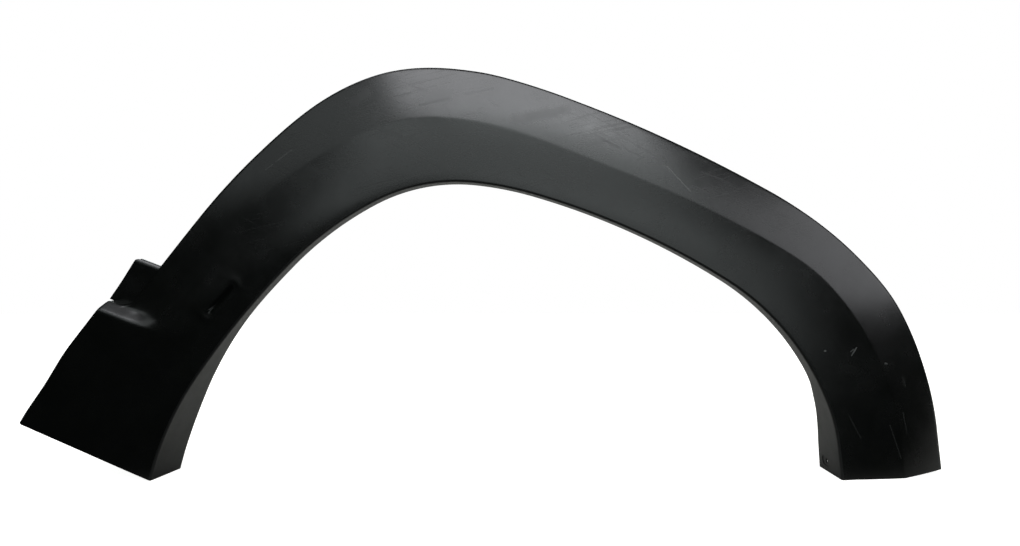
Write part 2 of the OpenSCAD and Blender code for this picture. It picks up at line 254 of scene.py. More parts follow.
def outline_path():
    """The outer outline as rows of (s where the section starts, s and w where it ends)."""
    fine_from, corner_s, top = PAD_LEN - 6, STEP_TOP - PAD_CORNER, pad_edge(STEP_TOP)

    # The pad's side up to its corner, and the rounded corner
    sides = (0.0, CHAMFER, *np.arange(3.0, fine_from, 4.0), *np.arange(fine_from, corner_s, 0.7))
    path = [(s, s, pad_edge(s)) for s in sides]
    start = corner_s
    for k in range(7):
        a = math.radians(15 * k)
        path.append((start, corner_s + PAD_CORNER * math.sin(a),
                     top - PAD_CORNER * (1 - math.cos(a))))
        start += 0.7

    # The ramp's top edge inward, and the nook's quarter round
    low, creep = edge_band(STEP_TOP) + NOOK_W, 0.02
    for k in range(1, 7):
        path.append((start, STEP_TOP + creep * k,
                     top - PAD_CORNER + (low - top + PAD_CORNER) * k / 6))
        start += 0.5
    for k in range(1, 13):
        a = math.radians(7.5 * k)
        run = NOOK_S * (1 - math.cos(a))
        path.append((start, STEP_TOP + 6 * creep + run,
                     edge_band(STEP_TOP + run) + NOOK_W * (1 - math.sin(a))))
        start += 0.8

    # The band beside the tab, and its own width from there to the narrow foot
    s_out = path[-1][1]
    for k in range(1, 41):
        s = s_out + (TAB_TOP - s_out) * k / 40
        path.append((start + (TAB_TOP - start) * k / 40, s, edge_band(s)))
    rest = (*np.linspace(TAB_TOP + 0.8, TAB_TOP + 19.2, 24),
            *np.linspace(TAB_TOP + 22, EDGE_LEN - 3, 290), EDGE_LEN - CHAMFER, EDGE_LEN)
    path += [(s, s, edge_band(s)) for s in rest]
    return [tuple(float(value) for value in row) for row in path]


OUTLINE = outline_path()


def outline_normals(path):
    """The outline's outward direction at each of its rows."""
    normals = []
    for i in range(len(path)):
        a, b = path[max(0, i - 1)], path[min(len(path) - 1, i + 1)]
        ds, dw = b[1] - a[1], b[2] - a[2]
        size = math.hypot(ds, dw)
        normals.append((-dw / size, ds / size))
    return normals


def lip_depth(s, depth):
    """Depth of the lip, which reaches the tab's plane beside the tab."""
    reach = (ease_between(s, STEP_TOP - 6, STEP_TOP) - ease_between(s, TAB_TOP, TAB_TOP + 5))
    return LIP + (TAB_SET + WALL / 2 - LIP - depth) * reach


def bezier(p, q, r, t):
    """A point on the curve from p to r that q pulls."""
    return tuple((1 - t) ** 2 * a + 2 * t * (1 - t) * b + t * t * c for a, b, c in zip(p, q, r))


# Where a cross-section has its points: shares of the flange, the roundings and the lip,
# widths over the dent and distances from the crease, all in millimetres but the shares
FLANGE_SHARES = [0.0, 0.012, 0.04, 0.15, 0.3, 0.45, 0.6, 0.75, 0.9]
ROUND_SHARES = [k / 6 for k in range(7)]
LIP_SHARES = [0.3, 0.6, 0.85, 0.97, 1.0]
DENT_WIDTHS = [18.0, *range(26, 43), 46.0]
CREASE_OFFSETS = [-9.0, -5.0, -3.0, -1.8, -0.9, 0.0, 0.9, 1.8, 3.0, 5.0, 9.0]
CREASE_SIDE, INNER_COLUMNS, OUTER_COLUMNS = 12.0, 4, 16
LEAST_ROUND, LEAST_LIP = 0.7, 0.5


def section(row, normal, inset):
    """One cross-section as (s, w, depth) points, from the flange's rim to the lip's."""
    s, s_out, w_out = row
    n_s, n_w = normal
    r = max(EDGE_ROUND - inset, LEAST_ROUND)

    # The flange from its rim to the face, and the rounding between them
    lean = FOOT_LEAN * (1 - ease_between(s, 0, TAB_TOP))
    rim = plan_bow(s) + smooth_curve(FLANGE_ROWS, s)
    corner = (inset, face_depth(s, inset) + inset)
    root = (inset, corner[1] + r)
    start = (inset + r, face_depth(s, inset + r) + inset)
    points = [(s, (inset - lean) + (root[0] - inset + lean) * t, rim + (root[1] - rim) * t)
              for t in FLANGE_SHARES]
    points += [(s, *bezier(root, corner, start, t)) for t in ROUND_SHARES]

    # The face, with finer columns over the dent and beside the crease
    s_end, w_end = s_out - (r + inset) * n_s, w_out - (r + inset) * n_w
    facet, dent_end = smooth_curve(FACET_ROWS, s), DENT_WIDTHS[-1]
    tail = (facet + CREASE_SIDE) / w_end
    shares = [start[0] / w_end * 0.4 + DENT_WIDTHS[0] * 0.6 / w_end]
    shares += [w / w_end for w in DENT_WIDTHS]
    shares += [(dent_end + (facet - CREASE_SIDE - dent_end) * k / INNER_COLUMNS) / w_end
               for k in range(1, INNER_COLUMNS + 1)]
    shares += [(facet + offset) / w_end for offset in CREASE_OFFSETS]
    shares += [tail + (1 - tail) * k / OUTER_COLUMNS for k in range(OUTER_COLUMNS + 1)]
    for u in shares:
        s_here, w_here = s + (s_end - s) * u ** 4, w_end * u
        points.append((s_here, w_here, face_depth(s_here, w_here) + inset))

    # The outer rounding and the lip behind it
    depth_end = points[-1][2]
    s_rim, w_rim = s_out - inset * n_s, w_out - inset * n_w
    slope = (face_depth(s_rim, w_rim) + inset - depth_end) / r
    depth_rim = depth_end + r * min(0.9, max(0.0, slope))
    points += [bezier((s_end, w_end, depth_end), (s_rim, w_rim, depth_rim),
                      (s_rim, w_rim, depth_rim + r), t) for t in ROUND_SHARES[1:]]
    front_depth = face_depth(s_out, w_out)
    s_lip, w_lip, lip_from = points[-1]
    lip_to = max(front_depth + lip_depth(s_out, front_depth), lip_from + LEAST_LIP)
    points += [(s_lip, w_lip, lip_from + (lip_to - lip_from) * t) for t in LIP_SHARES]
    return points


# Narrow dent in the wide leg: a tapering groove inside a soft swollen ring. It lies within
# a stretch of the edge and of the width, and deepens and ends over two short runs.
DENT_FROM, DENT_TO = (-322.0, 196.6), (-296.2, 224.4)
DENT_HALF, DENT_TIP, DENT_DEPTH = 3.2, 1.9, 2.1
DENT_RING, RING_GAP, RING_SOFT = 0.35, 9.0, 4.0
DENT_S, DENT_W = (190, 265), (10, 60)
DENT_START, DENT_END = (-6.0, 13.0), (-10.0, 3.0)


def dent(x, z):
    """How far the face is pushed back at a place on the wide leg, in millimetres."""
    (x0, z0), (x1, z1) = DENT_FROM, DENT_TO
    length = math.hypot(x1 - x0, z1 - z0)
    dx, dz = (x1 - x0) / length, (z1 - z0) / length
    run = (x - x0) * dx + (z - z0) * dz
    along = min(length, max(0.0, run))
    gap = math.hypot(x - x0 - along * dx, z - z0 - along * dz)
    half = DENT_HALF + (DENT_TIP - DENT_HALF) * along / length
    deep = (ease_between(run, *DENT_START)
            * (1 - ease_between(run, length + DENT_END[0], length + DENT_END[1])))
    return (DENT_DEPTH * deep * math.exp(-(gap / half) ** 2)
            - DENT_RING * math.exp(-((gap - RING_GAP) / RING_SOFT) ** 2))


def new_mesh(name, verts, faces=()):
    """A mesh from its points and faces."""
    mesh = bpy.data.meshes.new(name)
    mesh.from_pydata(verts, [], faces)
    mesh.update()
    return mesh


def shown(name, data):
    """A new object of the scene that holds a mesh, a light or a camera."""
    made = bpy.data.objects.new(name, data)
    bpy.context.scene.collection.objects.link(made)
    return made


def smoothed(mesh, angle):
    """Shades a mesh smooth, but for edges that turn by more than an angle in degrees."""
    mesh.polygons.foreach_set("use_smooth", [True] * len(mesh.polygons))
    mesh.set_sharp_from_angle(angle=math.radians(angle))


PANEL_SHARP, TAB_SHARP = 38, 50


def build_panel():
    """The panel as one closed skin, a ring of front and back points for each section."""
    trims = [CHAMFER, *[0.0] * (len(OUTLINE) - 2), CHAMFER]
    rings = [section(row, normal, trim) + section(row, normal, WALL - trim)[::-1]
             for row, normal, trim in zip(OUTLINE, outline_normals(OUTLINE), trims)]
    verts, places = [], []
    for s, w, depth in [point for ring in rings for point in ring]:
        x, y, z = [value - middle for value, middle in zip(place(s, w, depth), PANEL_MIDDLE)]
        if DENT_S[0] < s < DENT_S[1] and DENT_W[0] < w < DENT_W[1]:
            y += dent(x, z)
        verts.append((x * MM, y * MM, max(0.0, z) * MM))
        places.append((s * MM, w * MM))
    n = len(rings[0])
    faces = []
    for i in range(len(rings) - 1):
        for j in range(n):
            k = (j + 1) % n
            faces.append((i * n + j, i * n + k, (i + 1) * n + k, (i + 1) * n + j))
    last = (len(rings) - 1) * n
    for j in range(n // 2 - 1):
        faces.append((j, n - 1 - j, n - 2 - j, j + 1))
        faces.append((last + j, last + j + 1, last + n - 2 - j, last + n - 1 - j))
    mesh = new_mesh("moulded_panel", verts, faces)
    band_map = mesh.uv_layers.new(name="band")
    for loop in mesh.loops:
        band_map.data[loop.index].uv = places[loop.vertex_index]
    smoothed(mesh, PANEL_SHARP)
    return mesh


panel = shown("moulded_panel", build_panel())


def finished(piece, *modifiers):
    """Applies modifiers, given as (type, settings), and leaves a plain mesh."""
    for kind, settings in modifiers:
        modifier = piece.modifiers.new(kind.title(), kind)
        for key, value in settings.items():
            setattr(modifier, key, value)
    graph = bpy.context.evaluated_depsgraph_get()
    mesh = bpy.data.meshes.new_from_object(piece.evaluated_get(graph))
    piece.modifiers.clear()
    piece.data = mesh
    return piece


# Sunk oblong seat and round hole for the screw, in the flange of the narrow leg
SCREW_D, SCREW_RISE, SCREW_SET = 6.5, 12.5, 47.0
SEAT_LEN, SEAT_H, SEAT_SINK = 26.0, 12.0, 0.8
CUT_FROM, CUT_TO = -8.0, 12.0


def prism(name, outline, low, high, frame_at):
    """A cutter with an outline in (x, y) and flat ends at two heights of its own frame."""
    n = len(outline)
    verts = [frame_at @ Vector((x * MM, y * MM, z * MM)) for z in (low, high) for x, y in outline]
    faces = [tuple(range(n))[::-1], tuple(range(n, 2 * n))]
    faces += [(k, (k + 1) % n, n + (k + 1) % n, n + k) for k in range(n)]
    return shown(name, new_mesh(name, [tuple(v) for v in verts], faces))


def rounded_slot(length, height, steps=24):
    """Outline of an upright slot with round ends."""
    half, r = (length - height) / 2, height / 2
    return [(r * math.cos(a), r * math.sin(a) + (half if a <= math.pi else -half))
            for a in [2 * math.pi * (k + 0.5) / (2 * steps) for k in range(2 * steps)]]


screw_s = EDGE_LEN - SCREW_RISE
screw_x, screw_z, screw_heading = edge_at(screw_s)
screw_place = Vector((screw_x - PANEL_MIDDLE[0], plan_bow(screw_s) + SCREW_SET - PANEL_MIDDLE[1],
                      screw_z)) * MM
screw_frame = Matrix.Translation(screw_place) @ Matrix.Rotation(-screw_heading, 4, "Y")
cutters = [prism("screw_hole", rounded_slot(SCREW_D, SCREW_D), CUT_FROM, CUT_TO, screw_frame),
           prism("screw_seat", rounded_slot(SEAT_LEN, SEAT_H), CUT_FROM, SEAT_SINK, screw_frame)]
finished(panel, *[("BOOLEAN", {"operation": "DIFFERENCE", "solver": "EXACT", "object": cutter})
                  for cutter in cutters])
for cutter in cutters:
    bpy.data.objects.remove(cutter)
panel.data.set_sharp_from_angle(angle=math.radians(PANEL_SHARP))


def add(tree, kind, feed=None, **settings):
    """A new node; feed gives its inputs' values or sources, by name or by place."""
    node = tree.nodes.new(kind)
    for key, value in settings.items():
        setattr(node, key, value)
    for key, value in (feed or {}).items():
        if isinstance(value, bpy.types.NodeSocket):
            tree.links.new(value, node.inputs[key])
        else:
            node.inputs[key].default_value = value
    return node


def maths(tree, operation, *values):
    return add(tree, "ShaderNodeMath", dict(enumerate(values)), operation=operation).outputs[0]


def vectors(tree, operation, *values):
    made = add(tree, "ShaderNodeVectorMath", dict(enumerate(values)), operation=operation)
    return made.outputs["Value" if operation in ("DOT_PRODUCT", "LENGTH") else "Vector"]


def ranged(tree, value, low, high, to_low=0.0, to_high=1.0):
    """A smooth step of a value between two levels."""
    return add(tree, "ShaderNodeMapRange", {"Value": value, "From Min": low, "From Max": high,
                                            "To Min": to_low, "To Max": to_high},
               interpolation_type="SMOOTHSTEP").outputs["Result"]


def node_group(name, kind, given, made):
    """An empty group with named inputs (name, type, value) and outputs (name, type)."""
    tree = bpy.data.node_groups.new(name, kind)
    for label, socket_type, value in given:
        socket = tree.interface.new_socket(label, in_out="INPUT", socket_type=socket_type)
        if value is not None:
            socket.default_value = value
    for label, socket_type in made:
        tree.interface.new_socket(label, in_out="OUTPUT", socket_type=socket_type)
    return tree, tree.nodes.new("NodeGroupInput").outputs, tree.nodes.new("NodeGroupOutput").inputs


def moulded_grain():
    """Fine moulded texture as a height, and a slow unevenness of the finish."""
    tree, given, made = node_group(
        "moulded_grain", "ShaderNodeTree",
        [("Position", "NodeSocketVector", None), ("Grain size", "NodeSocketFloat", 0.0009)],
        [("Height", "NodeSocketFloat"), ("Unevenness", "NodeSocketFloat")])
    scale = maths(tree, "DIVIDE", 1.0, given["Grain size"])
    fine = add(tree, "ShaderNodeTexNoise", {"Vector": given["Position"], "Scale": scale,
                                            "Detail": 2.0, "Roughness": 0.6})
    slow = add(tree, "ShaderNodeTexNoise", {"Vector": given["Position"], "Scale": 26.0,
                                            "Detail": 4.0, "Roughness": 0.62})
    tree.links.new(fine.outputs["Fac"], made["Height"])
    tree.links.new(slow.outputs["Fac"], made["Unevenness"])
    return tree


def wiped_streaks():
    """Long thin wipe marks along one direction of the face, broken up into patches."""
    tree, given, made = node_group(
        "wiped_streaks", "ShaderNodeTree",
        [("Position", "NodeSocketVector", None), ("Turn", "NodeSocketFloat", 0.0),
         ("Spacing", "NodeSocketFloat", 0.004), ("Length", "NodeSocketFloat", 0.09)],
        [("Streaks", "NodeSocketFloat")])
    turned = add(tree, "ShaderNodeVectorRotate",
                 {"Vector": given["Position"], "Angle": given["Turn"]},
                 rotation_type="Y_AXIS").outputs[0]
    swirl = add(tree, "ShaderNodeTexNoise",
                {"Vector": given["Position"], "Scale": 6.0, "Detail": 0.0})
    bent = vectors(tree, "ADD", turned, vectors(tree, "MULTIPLY", swirl.outputs["Color"],
                                                (0.0, 0.0, 0.02)))
    stretch = add(tree, "ShaderNodeCombineXYZ", {
        0: maths(tree, "DIVIDE", 1.0, given["Length"]), 1: 0.0,
        2: maths(tree, "DIVIDE", 1.0, given["Spacing"])}).outputs[0]
    drawn = vectors(tree, "MULTIPLY", bent, stretch)
    lines = add(tree, "ShaderNodeTexNoise", {"Vector": drawn, "Scale": 1.0, "Detail": 3.0,
                                             "Roughness": 0.7})
    patches = add(tree, "ShaderNodeTexNoise", {"Vector": given["Position"], "Scale": 16.0,
                                               "Detail": 1.0})
    streaks = maths(tree, "MULTIPLY", ranged(tree, lines.outputs["Fac"], 0.5, 0.72),
                    ranged(tree, patches.outputs["Fac"], 0.38, 0.58))
    tree.links.new(streaks, made["Streaks"])
    return tree


def straight_scratch():
    """One scratch between two places of the face, seen square to it."""
    tree, given, made = node_group(
        "straight_scratch", "ShaderNodeTree",
        [("Position", "NodeSocketVector", None), ("From", "NodeSocketVector", (0, 0, 0)),
         ("To", "NodeSocketVector", (0, 0, 0.01)), ("Width", "NodeSocketFloat", 0.001),
         ("Strength", "NodeSocketFloat", 1.0)],
        [("Scratch", "NodeSocketFloat")])
    run = vectors(tree, "SUBTRACT", given["To"], given["From"])
    away = vectors(tree, "SUBTRACT", given["Position"], given["From"])
    away = vectors(tree, "MULTIPLY", away, (1.0, 0.0, 1.0))
    share = maths(tree, "DIVIDE", vectors(tree, "DOT_PRODUCT", away, run),
                  vectors(tree, "DOT_PRODUCT", run, run))
    share = add(tree, "ShaderNodeClamp", {"Value": share}).outputs[0]
    nearest = add(tree, "ShaderNodeVectorMath", {0: run, "Scale": share},
                  operation="SCALE").outputs[0]
    gap = vectors(tree, "LENGTH", vectors(tree, "SUBTRACT", away, nearest))
    uneven = add(tree, "ShaderNodeTexNoise", {"Vector": given["Position"], "Scale": 420.0,
                                              "Detail": 1.0}).outputs["Fac"]
    edge = maths(tree, "MULTIPLY", given["Width"], maths(tree, "ADD", uneven, 0.2))
    line = maths(tree, "SUBTRACT", 1.0, ranged(tree, maths(tree, "DIVIDE", gap, edge), 0.35, 1.0))
    tree.links.new(maths(tree, "MULTIPLY", line, given["Strength"]), made["Scratch"])
    return tree


GRAIN, STREAKS, SCRATCH = moulded_grain(), wiped_streaks(), straight_scratch()

# Scratches and knocks on the face as (from x, z, to x, z, width, strength), in millimetres
SCRATCHES = [
    (210.9, 366.6, 237.5, 336.5, 1.4, 0.3), (205.0, 372.0, 214.0, 362.0, 1.2, 0.15),
    (-250.0, 372.5, -231.0, 386.5, 1.4, 0.2), (-262.0, 363.0, -254.0, 369.0, 1.3, 0.15),
    (420.2, 75.0, 434.5, 49.0, 1.2, 0.09), (470.8, 63.0, 484.5, 24.0, 1.3, 0.1),
    (488.5, 77.0, 493.4, 53.0, 1.2, 0.12), (430.6, 154.0, 424.4, 145.0, 1.6, 0.5),
    (427.0, 152.0, 423.6, 149.5, 1.4, 0.3), (391.8, 150.5, 392.6, 150.6, 2.0, 0.6),
    (466.5, 135.0, 469.0, 134.6, 1.9, 0.45), (491.0, 118.0, 493.0, 108.0, 4.0, 0.06),
]
# Wiped places as (from x, z, to x, z, width, change of roughness): a rougher place looks darker
SMUDGES = [
    (34.0, 421.0, 92.0, 434.0, 17.0, 0.035), (48.0, 424.0, 88.0, 433.0, 9.0, 0.03),
    (66.0, 405.0, 120.0, 411.0, 9.0, -0.03),
    (-158.0, 443.0, -146.0, 453.0, 14.0, 0.06), (-80.0, 437.5, -46.0, 446.0, 3.0, 0.06),
    (-110.0, 449.0, -92.0, 453.0, 2.6, 0.05), (-27.0, 452.0, 6.0, 459.0, 3.4, 0.04),
    (135.0, 398.0, 156.0, 388.0, 3.0, 0.07), (160.0, 388.0, 182.0, 377.0, 2.6, 0.05),
    (36.0, 362.5, 38.2, 353.5, 2.0, 0.1), (-40.0, 418.0, 44.0, 408.0, 9.0, -0.02),
    (*DENT_FROM, *DENT_TO, 7.0, -0.12),
]


FACE_BLACK, SCRATCH_GREY = (0.0008, 0.0012, 0.0009, 1.0), (0.11, 0.115, 0.11, 1.0)
FACE_ROUGHNESS, STREAK_ROUGHNESS, SCRATCH_ROUGHNESS, RETURN_MATTE = 0.25, 0.075, 0.2, 0.3
# Directions of wiping as (turn, spacing, length), and the heights between which they begin
WIPES, WIPED_FROM, WIPED_TO = ((0.27, 0.0035, 0.10), (-0.42, 0.005, 0.12)), 0.22, 0.36


def black_plastic(name):
    """A material of the moulding with its tree, shader and position, and its moulded grain."""
    material = bpy.data.materials.new(name)
    material.use_nodes = True
    tree = material.node_tree
    shader = tree.nodes["Principled BSDF"]
    shader.inputs["Base Color"].default_value = FACE_BLACK
    position = add(tree, "ShaderNodeTexCoord").outputs["Object"]
    grain = add(tree, "ShaderNodeGroup", {"Position": position}, node_tree=GRAIN).outputs
    bump = add(tree, "ShaderNodeBump", {"Strength": 0.12, "Distance": 0.0002,
                                        "Height": grain["Height"]})
    tree.links.new(bump.outputs["Normal"], shader.inputs["Normal"])
    return material, tree, shader, position, grain["Unevenness"]


def worn_black():
    """Satin black plastic of the face, with the wipe marks and scratches of its use."""
    material, tree, shader, position, unevenness = black_plastic("satin_black_moulding")

    def marks(rows, operation):
        """The marks of a list together, each drawn by the scratch group."""
        together = None
        for x0, z0, x1, z1, width, strength in rows:
            layer = add(tree, "ShaderNodeGroup",
                        {"Position": position, "From": (x0 * MM, 0.0, z0 * MM),
                         "To": (x1 * MM, 0.0, z1 * MM), "Width": width * MM,
                         "Strength": strength}, node_tree=SCRATCH)
            mark = layer.outputs["Scratch"]
            together = mark if together is None else maths(tree, operation, together, mark)
        return together

    streaks = [add(tree, "ShaderNodeGroup", {"Position": position, "Turn": turn,
                                             "Spacing": spacing, "Length": length},
                   node_tree=STREAKS).outputs["Streaks"] for turn, spacing, length in WIPES]
    height = add(tree, "ShaderNodeSeparateXYZ", {0: position}).outputs[2]
    wiped = maths(tree, "MULTIPLY", maths(tree, "MAXIMUM", *streaks),
                  ranged(tree, height, WIPED_FROM, WIPED_TO))
    scratched = marks(SCRATCHES, "MAXIMUM")
    colour = add(tree, "ShaderNodeMix", {"Factor": scratched, "A": FACE_BLACK,
                                         "B": SCRATCH_GREY}, data_type="RGBA")
    tree.links.new(colour.outputs["Result"], shader.inputs["Base Color"])

    rough = maths(tree, "MULTIPLY_ADD", wiped, STREAK_ROUGHNESS,
                  ranged(tree, unevenness, 0.3, 0.7, FACE_ROUGHNESS - 0.02, FACE_ROUGHNESS + 0.03))
    rough = maths(tree, "MULTIPLY_ADD", scratched, SCRATCH_ROUGHNESS, rough)
    rough = maths(tree, "ADD", rough, marks(SMUDGES, "ADD"))
    # The second value of the band's map is the width in metres, next to nothing on the flange
    band_place = add(tree, "ShaderNodeUVMap", uv_map="band").outputs[0]
    across_band = add(tree, "ShaderNodeSeparateXYZ", {0: band_place}).outputs[1]
    rough = maths(tree, "ADD", rough, ranged(tree, across_band, 0.001, 0.0035, RETURN_MATTE, 0.0))
    tree.links.new(rough, shader.inputs["Roughness"])
    return material


panel.data.materials.clear()
panel.data.materials.append(worn_black())
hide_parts("wheel_arch_trim")
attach(panel, "root")


# ---------------------------------------------------------------------------
# Fixing tab
# A flat recessed tab above the pad's ramp, moulded in one with the panel. Its
# free corner is rounded and its top end is turned back as a stiffening edge.
# ---------------------------------------------------------------------------
TAB_FOOT_REACH, TAB_REACH, TAB_TURN, TAB_CORNER, TAB_BEVEL = 4.6, 10.6, 7.0, 5.0, 3.4
TAB_ROWS, TAB_COLUMNS = 20, 16
TAB_ROUND, MATTE_ROUGHNESS = 0.0006, 0.26


def tab_rows(low, high):
    """Places along the tab with their depth: its flat, its sloped strip and its turned end."""
    rows = [(low + (high - TAB_BEVEL - low) * k / TAB_ROWS, 0.0) for k in range(TAB_ROWS + 1)]
    rows += [(high - TAB_BEVEL * (1 - share), TAB_BEVEL * 0.62 * share ** 1.2)
             for share in (0.15, 0.4, 0.6, 0.8)]
    return rows + [(high, TAB_BEVEL * 0.75), (high, TAB_TURN)]


def build_tab():
    """The tab's middle surface, from inside the band's edge to its free side."""
    low, high = STEP_TOP - 2.0, TAB_TOP - 1.0
    rows = tab_rows(low, high)
    verts, faces = [], []
    for s, depth in rows:
        share = (s - low) / (high - low)
        inner = edge_band(s) - WALL / 2
        outer = edge_band(s) + PAD_FLARE + TAB_FOOT_REACH + (TAB_REACH - TAB_FOOT_REACH) * share
        beyond = max(0.0, s + depth * 0.6 - (high - TAB_CORNER))
        outer -= TAB_CORNER - math.sqrt(max(0.0, TAB_CORNER ** 2 - min(beyond, TAB_CORNER) ** 2))
        for k in range(TAB_COLUMNS + 1):
            point = place(s, inner + (outer - inner) * k / TAB_COLUMNS, TAB_SET + depth)
            verts.append(tuple((value - m) * MM for value, m in zip(point, PANEL_MIDDLE)))
    for i in range(len(rows) - 1):
        for k in range(TAB_COLUMNS):
            a = i * (TAB_COLUMNS + 1) + k
            faces.append((a, a + 1, a + TAB_COLUMNS + 2, a + TAB_COLUMNS + 1))
    return new_mesh("fixing_tab", verts, faces)


tab = shown("fixing_tab", build_tab())
if tab.data.polygons[0].normal.y > 0:
    tab.data.flip_normals()
finished(tab, ("SOLIDIFY", {"thickness": WALL * MM, "offset": -1.0}),
         ("BEVEL", {"width": TAB_ROUND, "segments": 2, "limit_method": "ANGLE",
                    "angle_limit": math.radians(TAB_SHARP)}))
smoothed(tab.data, TAB_SHARP)


def plain_black():
    """The same plastic where nothing has worn it, with the moulded grain only."""
    material, tree, shader, _, unevenness = black_plastic("matte_black_moulding")
    tree.links.new(ranged(tree, unevenness, 0.3, 0.7, MATTE_ROUGHNESS - 0.03,
                          MATTE_ROUGHNESS + 0.04), shader.inputs["Roughness"])
    return material


matte_black = plain_black()
tab.data.materials.append(matte_black)
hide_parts("wheel_arch_trim")
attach(tab, "root")


# ---------------------------------------------------------------------------
# Stiffening webs
# Thin webs across the channel behind the face, moulded in one with it. Each is
# rooted in the flange, the face and the outer lip.
# ---------------------------------------------------------------------------
CLIP_COUNT, WEB_T, WEBS_BETWEEN, ROOT = 9, 1.8, 1, 1.0
CLIP_PITCH, FIRST_CLIP = EDGE_LEN / (CLIP_COUNT + 0.2), 0.6
WEB_CLEARANCE, FLANGE_SHARE, LIP_SHARE = 1.9, 0.62, 0.7
SHEET_MERGE = 1e-6


def stations(name, rows, **columns):
    """Points in the panel's frame, in millimetres, each with its named values."""
    mesh = new_mesh(name, [tuple((v - m) * MM for v, m in zip(row, PANEL_MIDDLE)) for row in rows])
    for key, values in columns.items():
        mesh.attributes.new(key, "FLOAT", "POINT").data.foreach_set("value", values)
    return shown(name, mesh)


def thickened(tree, flat, direction, thickness):
    """Closed solids from flat faces, pushed out along a direction."""
    thick = add(tree, "GeometryNodeExtrudeMesh",
                {"Mesh": flat, "Offset": direction, "Offset Scale": thickness,
                 "Individual": False}, mode="FACES").outputs[0]
    under = add(tree, "GeometryNodeFlipFaces", {"Mesh": flat}).outputs[0]
    both = tree.nodes.new("GeometryNodeJoinGeometry")
    tree.links.new(thick, both.inputs[0])
    tree.links.new(under, both.inputs[0])
    return add(tree, "GeometryNodeMergeByDistance",
               {"Geometry": both.outputs[0], "Distance": SHEET_MERGE}).outputs[0]


def rooted_sheets():
    """Sheets at stations across the band: one edge is rooted in the panel's wall, which
    it finds by looking along the depth, and the other runs straight between two depths."""
    number, whole = "NodeSocketFloat", "NodeSocketInt"
    tree, given, made = node_group(
        "rooted_sheets", "GeometryNodeTree",
        [("Stations", "NodeSocketGeometry", None), ("Panel", "NodeSocketObject", None),
         ("Columns", whole, 24), ("Thickness", number, 0.0018), ("Root", number, 0.001),
         ("Clearance", number, 0.0), ("Material", "NodeSocketMaterial", None)],
        [("Sheets", "NodeSocketGeometry")])

    def value(name, kind="FLOAT"):
        return add(tree, "GeometryNodeInputNamedAttribute", {"Name": name},
                   data_type=kind).outputs[0]

    def mixed(share, low, high):
        return maths(tree, "MULTIPLY_ADD", share, maths(tree, "SUBTRACT", high, low), low)

    def split(vector):
        return add(tree, "ShaderNodeSeparateXYZ", {0: vector}).outputs

    def scaled(vector, by):
        return add(tree, "ShaderNodeVectorMath", {0: vector, "Scale": by},
                   operation="SCALE").outputs[0]

    # A two-row grid at every station, which remembers its shares and its station
    position = add(tree, "GeometryNodeInputPosition").outputs[0]
    grid = add(tree, "GeometryNodeMeshGrid", {"Size X": 1.0, "Size Y": 1.0,
                                              "Vertices X": given["Columns"], "Vertices Y": 2})
    shares = vectors(tree, "ADD", position, (0.5, 0.5, 0.0))
    sheet = add(tree, "GeometryNodeStoreNamedAttribute",
                {"Geometry": grid.outputs["Mesh"], "Name": "shares", "Value": shares},
                data_type="FLOAT_VECTOR").outputs[0]
    points = add(tree, "GeometryNodeStoreNamedAttribute",
                 {"Geometry": given["Stations"], "Name": "station", "Value": position},
                 data_type="FLOAT_VECTOR").outputs[0]
    sheets = add(tree, "GeometryNodeInstanceOnPoints", {"Points": points, "Instance": sheet})
    sheets = add(tree, "GeometryNodeRealizeInstances", {"Geometry": sheets.outputs[0]}).outputs[0]

    # How far each column reaches across the band, kept clear of the walls at both ends
    share, turn = split(value("shares", "FLOAT_VECTOR")), value("turn")
    across_it = add(tree, "ShaderNodeCombineXYZ", {0: maths(tree, "COSINE", turn), 1: 0.0,
                                                   2: maths(tree, "SINE", turn)}).outputs[0]
    along_it = vectors(tree, "CROSS_PRODUCT", across_it, (0.0, 1.0, 0.0))
    low, high = value("low"), value("high")
    reach = mixed(share[0], low, high)
    clear = maths(tree, "MAXIMUM", reach, maths(tree, "ADD", low, given["Clearance"]))
    clear = maths(tree, "MINIMUM", clear, maths(tree, "SUBTRACT", high, given["Clearance"]))
    station = value("station", "FLOAT_VECTOR")

    def beside(distance):
        return vectors(tree, "ADD", station, scaled(across_it, distance))

    # The panel's wall in front of each column, the rim behind it, and the depth between
    wall = add(tree, "GeometryNodeObjectInfo", {"Object": given["Panel"]},
               transform_space="RELATIVE")
    look = add(tree, "GeometryNodeRaycast",
               {"Target Geometry": wall.outputs["Geometry"],
                "Source Position": vectors(tree, "ADD", beside(clear), (0.0, 0.3, 0.0)),
                "Ray Direction": (0.0, -1.0, 0.0), "Ray Length": 1.0})
    front = maths(tree, "SUBTRACT", split(look.outputs["Hit Position"])[1], given["Root"])
    rim = mixed(share[0], value("rim_low"), value("rim_high"))
    depth = mixed(share[1], rim, front)
    flat_at = split(beside(reach))
    flat_at = add(tree, "ShaderNodeCombineXYZ", {0: flat_at[0], 1: depth, 2: flat_at[2]}).outputs[0]
    half = scaled(along_it, maths(tree, "MULTIPLY", given["Thickness"], -0.5))
    flat = add(tree, "GeometryNodeSetPosition",
               {"Geometry": sheets, "Position": vectors(tree, "ADD", flat_at, half)}).outputs[0]
    solid = thickened(tree, flat, along_it, given["Thickness"])
    finish = add(tree, "GeometryNodeSetMaterial", {"Geometry": solid,
                                                   "Material": given["Material"]})
    tree.links.new(finish.outputs[0], made["Sheets"])
    return tree


def by_nodes(piece, tree, values):
    """Sets a tree's named inputs, runs it on the piece and leaves a plain mesh."""
    modifier = piece.modifiers.new(tree.name, "NODES")
    modifier.node_group = tree
    for item in tree.interface.items_tree:
        if item.in_out == "INPUT" and item.name in values:
            modifier[item.identifier] = values[item.name]
    return finished(piece)


